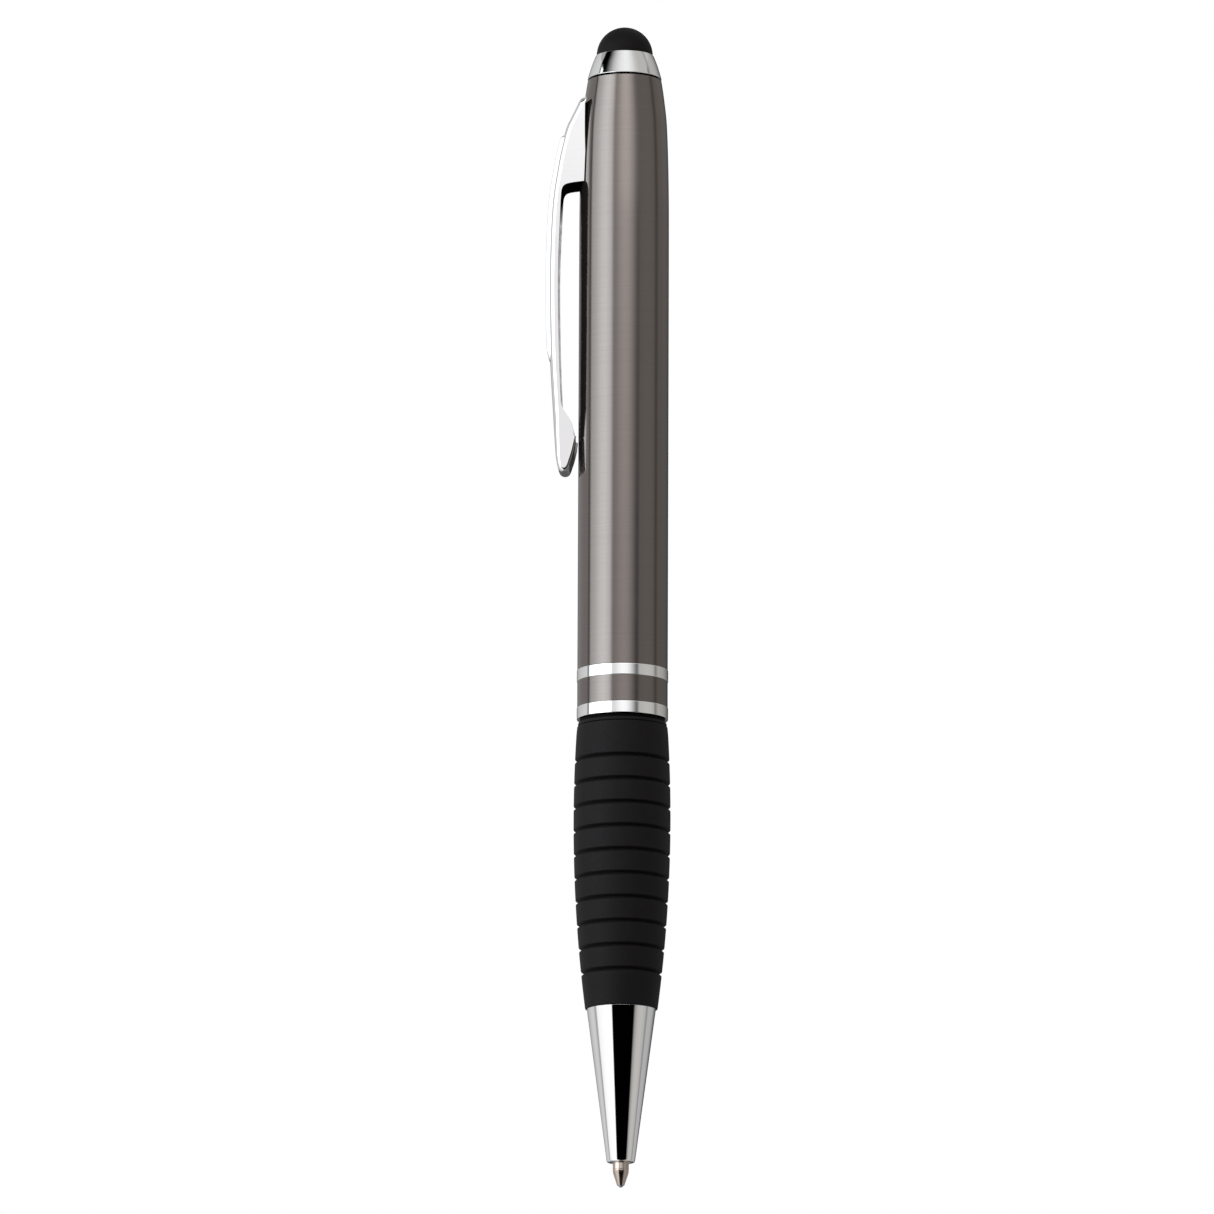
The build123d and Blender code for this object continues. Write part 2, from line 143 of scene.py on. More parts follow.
def add_block(mesh, xs, half, zs):
    """Add a box between two x and two z, as far to one side of the axis as to the other."""
    for vert in bmesh.ops.create_cube(mesh, size=1)["verts"]:
        vert.co = Vector((xs[vert.co.x > 0], math.copysign(half, vert.co.y),
                          zs[vert.co.z > 0])) * MM


def soften(piece):
    """Weight the normals by face size, so broad faces stay true up to their rounded edges."""
    normals = piece.modifiers.new("normals", "WEIGHTED_NORMAL")
    normals.keep_sharp = True


def apply_modifiers(piece):
    """Make the modifiers' result the piece's own mesh."""
    graph = bpy.context.evaluated_depsgraph_get()
    piece.data = bpy.data.meshes.new_from_object(piece.evaluated_get(graph))
    piece.modifiers.clear()


# Materials ----------------------------------------------------------------

def shader(name, color, metallic, roughness, **sockets):
    """A Principled material; sockets are given by their names with underscores."""
    material = bpy.data.materials.new(name)
    material.use_nodes = True
    principled = material.node_tree.nodes["Principled BSDF"]
    principled.inputs["Base Color"].default_value = (*color, 1)
    principled.inputs["Metallic"].default_value = metallic
    principled.inputs["Roughness"].default_value = roughness
    for socket, value in sockets.items():
        principled.inputs[socket.replace("_", " ")].default_value = value
    return material


def add_noise(material, scale, stretch=(1, 1, 1), detail=3.0):
    """A noise's output, in the object's own metres; each axis is scaled by its stretch."""
    nodes, links = material.node_tree.nodes, material.node_tree.links
    place = nodes.new("ShaderNodeTexCoord")
    mapping = nodes.new("ShaderNodeMapping")
    noise = nodes.new("ShaderNodeTexNoise")
    mapping.inputs["Scale"].default_value = stretch
    noise.inputs["Scale"].default_value = scale
    noise.inputs["Detail"].default_value = detail
    links.new(place.outputs["Object"], mapping.inputs["Vector"])
    links.new(mapping.outputs["Vector"], noise.inputs["Vector"])
    return noise.outputs["Fac"]


def vary(material, driver, socket, low, high):
    """Let an output drive a socket of the shader between two values or two colours."""
    nodes, links = material.node_tree.nodes, material.node_tree.links
    ramp = nodes.new("ShaderNodeValToRGB")
    is_color = isinstance(low, tuple)
    ramp.color_ramp.elements[0].position = 0.3
    ramp.color_ramp.elements[1].position = 0.7
    ramp.color_ramp.elements[0].color = (*low, 1) if is_color else (low, low, low, 1)
    ramp.color_ramp.elements[1].color = (*high, 1) if is_color else (high, high, high, 1)
    links.new(driver, ramp.inputs["Fac"])
    links.new(ramp.outputs["Color"], nodes["Principled BSDF"].inputs[socket])


def add_bump(material, noise, depth):
    """Surface relief of the given depth in mm, on top of any bump already there."""
    nodes, links = material.node_tree.nodes, material.node_tree.links
    normal = nodes["Principled BSDF"].inputs["Normal"]
    bump = nodes.new("ShaderNodeBump")
    bump.inputs["Distance"].default_value = depth * MM
    bump.inputs["Strength"].default_value = 1.0
    if normal.is_linked:
        links.new(normal.links[0].from_socket, bump.inputs["Normal"])
    links.new(noise, bump.inputs["Height"])
    links.new(bump.outputs["Normal"], normal)


def math_node(nodes, links, operation, first, second=None):
    """The output of a Math node, fed by an output and perhaps by another or a number."""
    node = nodes.new("ShaderNodeMath")
    node.operation = operation
    links.new(first, node.inputs[0])
    if isinstance(second, (int, float)):
        node.inputs[1].default_value = second
    elif second is not None:
        links.new(second, node.inputs[1])
    return node.outputs[0]


def fade(nodes, links, value, start, end):
    """An output that goes from 0 to 1 as the value goes from start to end."""
    ramp = nodes.new("ShaderNodeMapRange")
    ramp.inputs["From Min"].default_value = start
    ramp.inputs["From Max"].default_value = end
    links.new(value, ramp.inputs["Value"])
    return ramp.outputs["Result"]


def gunmetal():
    """Glossy lacquer over metal, with the faint turning marks round the barrel."""
    base = (0.190, 0.166, 0.156)
    material = shader("gunmetal_lacquer", base, 0.92, 0.10, Coat_Weight=0.15, Coat_Roughness=0.03)
    marks = add_noise(material, 1.0, stretch=(60, 60, 9000), detail=2.0)
    vary(material, marks, "Base Color", (0.184, 0.160, 0.150), (0.196, 0.172, 0.162))
    add_bump(material, marks, 0.00035)
    haze = add_noise(material, 260.0)
    vary(material, haze, "Roughness", 0.095, 0.13)
    return material


def polished_chrome():
    """Bright plating with very slight haze and turning marks."""
    material = shader("polished_chrome", (0.93, 0.93, 0.935), 1.0, 0.04)
    marks = add_noise(material, 1.0, stretch=(80, 80, 7000), detail=2.0)
    add_bump(material, marks, 0.00025)
    haze = add_noise(material, 420.0)
    vary(material, haze, "Roughness", 0.03, 0.06)
    return material


def moulded_rubber(name, color, lighter, grain, grain_depth, roughness):
    """Matte rubber with a fine moulded grain and slight bloom."""
    material = shader(name, color, 0.0, roughness, Specular_IOR_Level=0.19)
    bloom = add_noise(material, 700.0, detail=5.0)
    vary(material, bloom, "Base Color", color, lighter)
    fine = add_noise(material, grain, detail=6.0)
    add_bump(material, fine, grain_depth)
    vary(material, fine, "Roughness", roughness - 0.06, roughness + 0.08)
    return material


def plastic(name, color, lighter, roughness, shine=0.3):
    """Moulded plastic with slight mottling and a fine bump."""
    material = shader(name, color, 0.0, roughness, Specular_IOR_Level=shine)
    mottle = add_noise(material, 500.0)
    vary(material, mottle, "Base Color", color, lighter)
    add_bump(material, add_noise(material, 6000.0), 0.002)
    return material


def metal(name, color, darker, roughness, stretch=(1, 1, 1)):
    """Bare metal with marks along or round it, by how the noise is stretched."""
    material = shader(name, color, 1.0, roughness)
    marks = add_noise(material, 3000.0, stretch=stretch)
    vary(material, marks, "Base Color", darker, color)
    add_bump(material, marks, 0.0006)
    haze = add_noise(material, 900.0)
    vary(material, haze, "Roughness", roughness * 0.8, roughness * 1.25)
    return material


def inside_of_clip():
    """Metal inside the fold, greyer than the chrome: lighter on the flanges, with painted shade
    that darkens it to near black in the root and along the middle of the web.
    """
    material = metal("clip_inside_painted_shade", (0.45, 0.44, 0.45), (0.40, 0.39, 0.40), 0.35)
    nodes, links = material.node_tree.nodes, material.node_tree.links
    place = nodes.new("ShaderNodeTexCoord")
    split = nodes.new("ShaderNodeSeparateXYZ")
    links.new(place.outputs["Object"], split.inputs[0])
    sideways = math_node(nodes, links, "ABSOLUTE", split.outputs["Y"])
    shade_into_root = fade(nodes, links, split.outputs["Z"], 58.5 * MM, 65.0 * MM)
    shade_into_web = fade(nodes, links, sideways, 2.0 * MM, 1.6 * MM)
    painted_shade = math_node(nodes, links, "MAXIMUM", shade_into_root, shade_into_web)
    # Painted shade: the base colour goes to near black into the root and along the middle of the
    # web, where the fold is shaded.
    vary(material, painted_shade, "Base Color", (0.55, 0.54, 0.55), (0.006, 0.006, 0.006))
    return material


TURNED = (0.04, 0.04, 3.0)      # stretches noise into marks round the axis
DRAWN = (3.0, 3.0, 0.03)        # stretches noise into marks along the axis

FINISH = {
    "gunmetal": gunmetal(),
    "chrome": polished_chrome(),
    "soft_rubber": moulded_rubber("dome_rubber", (0.0030, 0.0016, 0.0020), (0.0040, 0.0024, 0.0030),
                                  9000.0, 0.003, 0.60),
    "grip_rubber": moulded_rubber("grip_rubber", (0.0064, 0.0050, 0.0060), (0.0082, 0.0066, 0.0078),
                                  7000.0, 0.005, 0.60),
    "black_plastic": plastic("black_acetal", (0.002, 0.002, 0.002), (0.004, 0.004, 0.004), 0.60,
                             shine=0.04),
    "white_plastic": plastic("natural_acetal", (0.74, 0.73, 0.69), (0.80, 0.79, 0.76), 0.38),
    "brass": metal("turned_brass", (0.78, 0.58, 0.27), (0.70, 0.50, 0.22), 0.22, TURNED),
    "steel": metal("drawn_steel", (0.62, 0.61, 0.60), (0.50, 0.49, 0.48), 0.25, TURNED),
    "refill_metal": metal("satin_tube", (0.66, 0.66, 0.66), (0.58, 0.58, 0.58), 0.32, DRAWN),
    "ink": plastic("ink_paste", (0.004, 0.004, 0.010), (0.006, 0.006, 0.016), 0.10),
    "nickel_silver": metal("nickel_silver", (0.60, 0.51, 0.45), (0.52, 0.44, 0.385), 0.22, TURNED),
    "carbide": metal("carbide_ball", (0.42, 0.42, 0.44), (0.36, 0.36, 0.38), 0.08),
}
# The inside of the clip carries painted shade: near black in the root and along the web.
HOLLOW = inside_of_clip()       # the clip arm's second material

CAD_SLOTS = {
    "black_plastic": ["stylus_core", "top_insert"],
    "white_plastic": ["barrel_bush", "cam_sleeve", "guide_tube", "plunger", "refill_end_plug"],
    "brass": ["mechanism_housing", "mechanism_cap", "lower_barrel", "refill_nose"],
    "steel": ["drive_pin", "retaining_ring", "return_spring"],
    "soft_rubber": ["friction_ring"],
    "refill_metal": ["refill_tube"],
    "ink": ["ink_column"],
}


def dress_cad_nodes():
    """Give the inner parts, whose CAD shape is right, their procedural finish."""
    for slot, names in CAD_SLOTS.items():
        for name in names:
            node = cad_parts[name]
            node.data.materials.clear()
            node.data.materials.append(FINISH[slot])


def part(name, outline, body, slot, replaces):
    """A turned piece in the finish of its slot."""
    piece = make_piece(name, turned(outline), body, FINISH[slot], [replaces])
    soften(piece)
    return piece


# Stylus and finial --------------------------------------------------------

RIM_DROP = 0.17         # the skirt of the dome comes this far down to the finial
MOUTH_R = 3.0           # the finial's mouth, which the dome's bead fills
MOUTH_DEPTH = 1.2
CORE_R = 2.25           # the hole for the stylus core


def stylus_dome():
    """Hollow rubber half ball whose skirt rolls under at the finial."""
    radius, _, top = span("stylus_dome")
    rim = top - radius
    skirt_z, bead_z = rim + 0.01 - RIM_DROP, span("finial_ring")[2] - MOUTH_DEPTH
    wall = 0.75
    outer = [(radius * math.cos(a), rim + radius * math.sin(a))
             for a in (math.radians(3 * k) for k in range(2, 30))]
    inner = [((radius - wall) * math.cos(a), rim + (radius - wall) * math.sin(a))
             for a in (math.radians(6 * k) for k in range(14, 0, -1))]
    skirt = rounded([(radius - wall, rim, 0), (CORE_R, rim, 0), (CORE_R, bead_z, 0.1),
                     (MOUTH_R, bead_z, 0.1), (MOUTH_R, skirt_z, 0),
                     (radius, skirt_z, 0.12), (radius, rim + 0.3, 0)])
    outline = [*outer, (0, top), (0, top - wall), *inner, *skirt]
    part("stylus_dome_skin", outline, "upper_half", "soft_rubber", "stylus_dome")


def finial():
    """Chrome cone between the barrel and the dome, with its threaded spigot."""
    radius, foot, top = span("finial_ring")
    top -= RIM_DROP
    seam = span("upper_barrel")[2] + 0.15       # leaves a dark line over the barrel
    low, high = seam + 0.07, top - 0.08
    side = curve_through([(radius - inset, low + (high - low) * share)
                          for share, inset in ((0, 0), (0.33, 0.26), (0.67, 0.56), (1, 0.91))], 5)
    lip_r, floor_z, spigot_r = radius - 0.94, top + RIM_DROP - MOUTH_DEPTH, 3.2
    lip = rounded([(lip_r, top, 0.07), (MOUTH_R, top, 0.06), (MOUTH_R, floor_z, 0),
                   (CORE_R, floor_z, 0), (CORE_R, foot, 0.1), (spigot_r, foot, 0.15),
                   (spigot_r, seam, 0.08), (radius, seam, 0.05)])
    part("finial_cone", [*side, *lip], "upper_half", "chrome", "finial_ring")


# Barrel, band and rings ---------------------------------------------------

BORE_R = 4.8            # the hole through the barrel, the band and the rings
BARREL_TAPER = [(5.345, 54.0), (5.305, 64.3), (5.10, 71.6), (4.78, 75.0)]
TAB_HALF = 1.15         # half the width of the clip's tab
POCKET_GAP = 0.2        # room on either side of the tab
POCKET_X = (-6.3, -3.2)
POCKET_Z = (66.9, 70.1)


def upper_barrel():
    """Lacquered tube: straight for half its length, then drawn in to the finial."""
    radius, foot, top = span("upper_barrel")
    seam_gap = 0.07
    top -= seam_gap
    middle_z, taper_z, shoulder_z = foot + 12.0, foot + 22.7, 62.0
    top_r, top_bore_r = radius - 0.93, 3.95
    taper = curve_through([(radius, taper_z), *BARREL_TAPER, (top_r, top)], 7)
    inner = [(top_r, top, 0.06), (top_bore_r, top, 0.1), (top_bore_r, shoulder_z, 0.05),
             (BORE_R, shoulder_z, 0.05), (BORE_R, foot, 0.08), (radius, foot, 0.05)]
    outline = [(radius, middle_z), *taper[:-1], *rounded(inner)]
    piece = part("barrel_shell", outline, "upper_half", "gunmetal", "upper_barrel")
    cut_pocket(piece)


def cut_pocket(piece):
    """Cut the pocket where the clip's tab goes through the barrel's side."""
    cutter_mesh = bmesh.new()
    add_block(cutter_mesh, POCKET_X, TAB_HALF + POCKET_GAP, POCKET_Z)
    bmesh.ops.bevel(cutter_mesh, geom=[e for e in cutter_mesh.edges if is_along_x(e)],
                    offset=0.4 * MM, segments=4, affect="EDGES", profile=0.5)
    data = bpy.data.meshes.new("pocket_cutter")
    cutter_mesh.to_mesh(data)
    cutter_mesh.free()
    cutter = bpy.data.objects.new("pocket_cutter", data)
    bpy.context.scene.collection.objects.link(cutter)
    piece.modifiers.clear()
    boolean = piece.modifiers.new("pocket", "BOOLEAN")
    boolean.object = cutter
    boolean.operation = "DIFFERENCE"
    boolean.solver = "EXACT"
    apply_modifiers(piece)
    bpy.data.objects.remove(cutter)
    soften(piece)


def is_along_x(edge):
    """Whether an edge of the pocket's cutter runs through the barrel's wall."""
    a, b = edge.verts
    return abs(a.co.x - b.co.x) > 1 * MM


def ring(name, node, slot, edge):
    """A plain band with softly rounded edges."""
    radius, low, high = span(node)
    outline = rounded([(BORE_R, low, 0.1), (radius, low, edge), (radius, high, edge),
                       (BORE_R, high, 0.1)])
    part(name, outline, "upper_half", slot, node)


# Grip ---------------------------------------------------------------------

GRIP_MAX_R = 5.725
GRIP_MAX_Z = -12.0
GRIP_CURVE = 0.00285
GROOVE_COUNT = 10
GROOVE_FIRST_Z = -5.05
GROOVE_PITCH = 2.818
GROOVE_DEPTH = 0.40
GROOVE_HALF = 0.29
GROOVE_LIP = 0.07       # rounding of a groove's edges
GROOVE_FOOT = 0.03      # and of its bottom
# Bead and fine groove round the grip's top: (how far down, how deep, rounding)
TOP_BEAD = [(-0.30, 0.14, 0.12), (0.05, 0.10, 0.05), (0.13, 0.22, 0.02), (0.21, 0.02, 0.08)]


def grip_radius(z):
    """Radius over the ribs at a height: a shallow parabola, fullest at GRIP_MAX_Z."""
    return GRIP_MAX_R - GRIP_CURVE * (z - GRIP_MAX_Z) ** 2


def grip():
    """Rubber sleeve: a barrel-shaped side cut by ten V grooves with softened lips."""
    _, low, high = span("grip_sleeve")
    corners = [(grip_radius(high) - depth, high - down, rounding)
               for down, depth, rounding in TOP_BEAD]
    rib_top = high - TOP_BEAD[-1][0]
    for i in range(GROOVE_COUNT + 1):
        middle = GROOVE_FIRST_Z - i * GROOVE_PITCH
        rib_low = low if i == GROOVE_COUNT else middle + GROOVE_HALF
        for share in (0.25, 0.5, 0.75):
            z = rib_top + share * (rib_low - rib_top)
            corners.append((grip_radius(z), z, 0))
        if i < GROOVE_COUNT:
            corners.append((grip_radius(rib_low), rib_low, GROOVE_LIP))
            corners.append((grip_radius(middle) - GROOVE_DEPTH, middle, GROOVE_FOOT))
            rib_top = middle - GROOVE_HALF
            corners.append((grip_radius(rib_top), rib_top, GROOVE_LIP))
    tube_r, flange_r, flange_z = 3.9, 5.0, -1.6
    corners += [(grip_radius(low), low, 0.16), (tube_r, low, 0.05), (tube_r, flange_z, 0),
                (flange_r, flange_z, 0), (flange_r, high - TOP_BEAD[0][0], 0.05)]
    part("grip_ribs", rounded(corners), "lower_half", "grip_rubber", "grip_sleeve")


def washer():
    """Dark bearing washer in the twist seam, a little recessed so that the seam reads dark."""
    radius, low, high = span("thrust_washer")
    recess, bore_r = 0.1, 4.1
    radius -= recess
    outline = rounded([(bore_r, low, 0.04), (radius, low, 0.06), (radius, high, 0.06),
                       (bore_r, high, 0.04)])
    part("seam_washer", outline, "lower_half", "black_plastic", "thrust_washer")


# Writing end --------------------------------------------------------------

def nozzle():
    """Chrome cone with a rolled lip, the spring's seat and a spigot."""
    _, tip, spigot_top = span("nozzle")
    cone_top, top_r, lip_z, lip_r, end_r = -34.6, 4.06, tip + 0.85, 1.76, 1.65
    spigot_r, bore_r, funnel_z = 3.5, 3.15, -37.5
    seat_r, seat_z, channel_r, throat_z, throat_r = 2.05, -46.0, 1.36, -51.5, 1.03
    side = [(lip_r + (top_r - lip_r) * t, lip_z + (cone_top - lip_z) * t)
            for t in (0.02, 0.12, 0.3, 0.5, 0.7, 0.85, 0.97)]
    bore = rounded([(top_r, cone_top, 0.04), (spigot_r, cone_top, 0.04),
                    (spigot_r, spigot_top, 0.2), (bore_r, spigot_top, 0.1),
                    (bore_r, funnel_z, 0.2), (seat_r, seat_z, 0.1), (channel_r, seat_z, 0.1),
                    (channel_r, throat_z, 0.05), (throat_r, throat_z, 0.05),
                    (throat_r, tip, 0.10), (end_r, tip, 0.36), (lip_r, lip_z, 0.2)])
    part("nozzle_cone", [*side, *bore], "lower_half", "chrome", "nozzle")


def refill_tip():
    """Nickel silver point: shank, faint collar line, ogive and the lip rolled over the ball."""
    radius, low, high = span("refill_tip")
    ball_r, ball_low, ball_high = span("writing_ball")
    ball_z = (ball_low + ball_high) / 2
    shoulder = -53.75
    point = curve_through([(radius, shoulder), (0.885, -54.10), (0.72, -54.62), (0.555, -55.12),
                           (0.435, low + 0.02)], 5)
    clearance = 0.012
    socket_r = ball_r + clearance
    cup = [(socket_r * math.sin(a), ball_z - socket_r * math.cos(a))
           for a in (math.radians(d) for d in (75, 90, 105, 120, 135, 149))]
    ink_r, plug_r, nose_z = 0.18, 0.75, -51.3
    collar_line = [(radius - depth, shoulder + up, bend) for up, depth, bend in
                   ((0.16, 0, 0.03), (0.12, 0.03, 0.02), (0.08, 0.03, 0.02), (0.04, 0, 0.03))]
    inner = rounded([(ink_r, high, 0.03), (plug_r, high, 0.08), (plug_r, nose_z, 0),
                     (radius, nose_z, 0.04), *collar_line])
    part("refill_point", [*point, *cup, *inner], "refill", "nickel_silver", "refill_tip")


def writing_ball():
    """The ball as a turned sphere, just clear of its socket."""
    radius, low, high = span("writing_ball")
    middle = (low + high) / 2
    steps = 24
    angles = [math.pi * k / steps for k in range(steps + 1)]
    outline = [(radius * math.sin(a), middle - radius * math.cos(a)) for a in angles]
    part("ball_point", outline, "ball", "carbide", "writing_ball")


# Clip ---------------------------------------------------------------------

CLIP_CORNER = 0.75                          # how far a corner reaches down the flange
CORNER_SPREAD = 1.45                        # and across the web, as a share of that
CLIP_SKIN = 0.22
WEB_STEPS = 5                               # points between two of the path's
FLANGE_DRAFT = math.tan(math.radians(4))    # the flanges lean in towards the web
DRAFT_FROM = 7.2                            # distance at which a flange has its full width
SEATED_FROM = 74.40                         # the web's top follows the barrel above this
SEAT_RADIUS = [(64.0, 5.345), (66.0, 5.31), (68.5, 5.25), (70.5, 5.31), (72.0, 5.33),
               (76.0, 5.33)]                # (z, radius) of the root's hollow on the barrel
WEB_PATH = [(5.33, 75.12), (5.335, 75.05), (5.35, 74.94), (5.38, 74.74), (5.45, 74.46),
            (5.62, 74.06), (5.93, 73.45), (6.40, 72.50), (6.87, 71.45), (7.42, 69.4),
            (7.95, 66.8), (8.62, 61.9), (8.90, 54.0), (8.76, 44.8),
            (8.35, 37.4), (8.02, 32.4), (7.88, 31.2), (7.704, 30.27), (7.443, 29.853),
            (7.0, 29.70), (6.557, 29.853), (6.301, 30.246), (6.10, 30.85), (5.87, 31.6),
            (5.64, 32.6), (5.49, 33.4), (5.44, 33.9)]
SEATED_RIM = (74.3, 73.2, 72.0, 70.5, 68.5, 67.0, 65.8)     # heights on the barrel
ROOT_RIM = [(5.34, 64.82), (6.00, 64.74), (6.64, 64.58), (7.08, 64.36), (7.31, 63.95),
            (7.41, 63.3), (7.47, 62.3)]
ARM_RIM = [(7.74, 54.0), (7.62, 45.0), (7.38, 39.0), (7.28, 37.8), (6.97, 37.05), (6.50, 36.35),
           (6.16, 35.75), (5.97, 35.2), (5.85, 34.7), (5.78, 34.2)]


def half_width(z):
    """The clip narrows in a straight line from its top to its end."""
    wide, narrow, top, end = 2.75, 2.10, 76.0, 28.2
    return narrow + (wide - narrow) * (z - end) / (top - end)


def flange_half(distance, z):
    """Half the width over the flanges at a point of the clip's side."""
    return half_width(z) - FLANGE_DRAFT * (distance - DRAFT_FROM)


def seat_radius(z):
    """Radius of the hollow that the clip's root is seated on, at a height.

    Below the table its first slope goes on, which keeps the heel clear of the barrel.
    """
    for (z0, r0), (z1, r1) in zip(SEAT_RADIUS, SEAT_RADIUS[1:]):
        if z <= z1:
            return r0 + (r1 - r0) * (z - z0) / (z1 - z0)
    return SEAT_RADIUS[-1][1]


def seat(distance, y, z, share):
    """Pull a point near the root back to the seat's hollow, by its share."""
    radius = seat_radius(z)
    return distance + (math.sqrt(radius ** 2 - y * y) - radius) * share


def ease(value, start, end):
    """0 before the start, 1 after the end, and a straight line between."""
    return min(1.0, max(0.0, (value - start) / (end - start)))


def corner_reach(z, is_heel):
    """The corners get tighter into the nose, and tighter still up the heel."""
    nose_share, heel_share, nose_z, heel_z, full_z = 0.55, 0.50, 30.0, 33.3, 36.0
    if is_heel:
        return CLIP_CORNER * (nose_share + (heel_share - nose_share) * ease(z, nose_z, heel_z))
    return CLIP_CORNER * (nose_share + (1 - nose_share) * ease(z, nose_z, full_z))


def web_sections():
    """Cross-sections of the folded skin along its path, as lists of (x, y, z) in mm."""
    path = [Vector(p) for p in curve_through(WEB_PATH, WEB_STEPS)]
    lowest = min(range(len(path)), key=lambda i: path[i].y)
    sections = []
    for i, here in enumerate(path):
        along = (path[min(i + 1, len(path) - 1)] - path[max(i - 1, 0)]).normalized()
        inward = Vector((along.y, -along.x))
        corner = corner_reach(here.y, i > lowest)
        share = ease(here.y, SEATED_FROM, WEB_PATH[0][1]) ** 2
        row = []
        for k in range(CORNER_STEPS + 1):
            turn = math.pi / 2 * k / CORNER_STEPS
            point = here + inward * corner * (1 - math.sin(turn))
            half = flange_half(point.x, point.y) - CORNER_SPREAD * corner * (1 - math.cos(turn))
            row.append((point.x, -half, point.y))
        row += [(here.x, row[-1][1] * fraction, here.y) for fraction in (0.7, 0.35, 0)]
        row += [(x, -y, z) for x, y, z in reversed(row[:-1])]
        sections.append([(-max(seat(x, y, z, share), seat(seat_radius(z), y, z, 1)), y, z)
                         for x, y, z in row])
    return sections


def first_free_row(sections):
    """The first cross-section whose flange edge has left the seat's hollow."""
    for i, section in enumerate(sections):
        x, y, z = section[0]
        if -x > seat(seat_radius(z), y, z, 1) + 1e-4:
            return i


def rim_points():
    """The flange's free edge from the root down to the heel, as (distance, z, seat share)."""
    release = 6         # points over which the rim leaves the barrel
    back = [(seat_radius(z), z, 1.0) for z in SEATED_RIM]
    root = [(d, z, max(0.0, 1 - k / release))
            for k, (d, z) in enumerate(curve_through(ROOT_RIM, 3))]
    arm = curve_through([ROOT_RIM[-1], *ARM_RIM], 4)[1:]
    return back + root + [(d, z, 0.0) for d, z in arm]


def room_needed(z):
    """Radius that clears the barrel at a height, also with the clip flexed open."""
    gap, hinge_z, flex = 0.03, 68.5, math.radians(4)
    taper = curve_through(BARREL_TAPER, 7)
    for (r0, z0), (r1, z1) in zip(taper, taper[1:]):
        if z <= z1:
            break
    barrel = r0 + (r1 - r0) * ease(z, z0, z1)
    return barrel + gap + max(0.0, z - hinge_z) * math.sin(flex)


def clear_the_barrel(piece):
    """Push the sheet's inner edges out to where they clear the barrel."""
    for vert in piece.data.vertices:
        radius = math.hypot(vert.co.x, vert.co.y) / MM
        needed = room_needed(vert.co.z / MM)
        if radius < needed:
            vert.co.x *= needed / radius
            vert.co.y *= needed / radius


def clip_arm():
    """Folded sheet: web, rounded corners, flat flanges and a rolled nose."""
    mesh = bmesh.new()
    sections = web_sections()
    rows = [[mesh.verts.new(Vector(p) * MM) for p in section] for section in sections]
    for row, following in zip(rows, rows[1:]):
        for k in range(len(row) - 1):
            mesh.faces.new((row[k], row[k + 1], following[k + 1], following[k]))
    start = first_free_row(sections)
    for side in (-1, 1):
        edge = [row[0] if side < 0 else row[-1] for row in rows[start:]]
        rim = []
        for distance, z, share in rim_points():
            seated = seat(distance, half_width(z), z, share)
            rim.append(mesh.verts.new(Vector((-seated, side * flange_half(seated, z), z)) * MM))
        mesh.faces.new(edge + rim[::-1])
    piece = make_piece("clip_spring_arm", mesh, "clip", FINISH["chrome"], ["clip_arm"])
    # Second material, for the inside faces, with painted shade in the root and web.
    piece.data.materials.append(HOLLOW)
    sheet = piece.modifiers.new("sheet", "SOLIDIFY")
    sheet.thickness = CLIP_SKIN * MM
    sheet.offset = -1
    sheet.material_offset = 1
    apply_modifiers(piece)
    clear_the_barrel(piece)
    rims = piece.modifiers.new("rims", "BEVEL")
    rims.width = 0.06 * MM
    rims.segments = 2
    rims.limit_method = "ANGLE"
    rims.angle_limit = math.radians(60)
    soften(piece)


def clip_tab():
    """Bridge between the flanges and the tab that goes through the barrel."""
    mesh = bmesh.new()
    bridge_half = 2.2
    add_block(mesh, (-6.0, -5.5), bridge_half, (66.8, 70.4))
    add_block(mesh, (-5.6, -3.2), TAB_HALF, (67.5, 69.5))
    bmesh.ops.bevel(mesh, geom=list(mesh.edges), offset=0.12 * MM, segments=3, affect="EDGES",
                    profile=0.5)
    piece = make_piece("clip_bridge_and_tab", mesh, "clip", FINISH["chrome"])
    soften(piece)


def clip_plate():
    """Raised strip on the web, with rounded edges and ends."""
    low, high = (value / MM for value in (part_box("clip_plate")[0].z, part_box("clip_plate")[1].z))
    thick, inset, sunk, edge, draft = 0.345, 0.90, 0.14, 0.24, 0.06
    web = [p for p in curve_through(WEB_PATH, 16) if low <= p[1] <= high]
    ends = {0: 0.0, 1: 0.55, 2: 0.85, 3: 0.97}      # share of the rise, by rows from an end
    mesh = bmesh.new()
    rows = []
    for i, (distance, z) in enumerate(web):
        before = Vector(web[max(i - 1, 0)])
        after = Vector(web[min(i + 1, len(web) - 1)])
        outward = (after - before).normalized()
        outward = Vector((-outward.y, outward.x))
        rise = thick * ends.get(min(i, len(web) - 1 - i), 1.0)
        half = half_width(z) - inset
        profile = [(-sunk, half + draft), (max(-sunk, rise - edge), half)]
        profile += [(rise - edge * (1 - math.sin(t)), half - edge * (1 - math.cos(t)))
                    for t in (math.radians(d) for d in (22, 45, 67, 90))]
        profile += [(rise, half * 0.5), (rise, 0)]
        profile += [(height, -y) for height, y in reversed(profile[:-1])]
        rows.append([mesh.verts.new(Vector((-(distance + outward.x * height), y,
                                            z + outward.y * height)) * MM)
                     for height, y in profile])
    for row, following in zip(rows, rows[1:]):
        for k in range(len(row)):
            nxt = (k + 1) % len(row)
            mesh.faces.new((row[k], row[nxt], following[nxt], following[k]))
    mesh.faces.new(rows[0])
    mesh.faces.new(rows[-1][::-1])
    piece = make_piece("clip_raised_plate", mesh, "clip", FINISH["chrome"],
                       ["clip_plate"])
    soften(piece)


# Studio -------------------------------------------------------------------

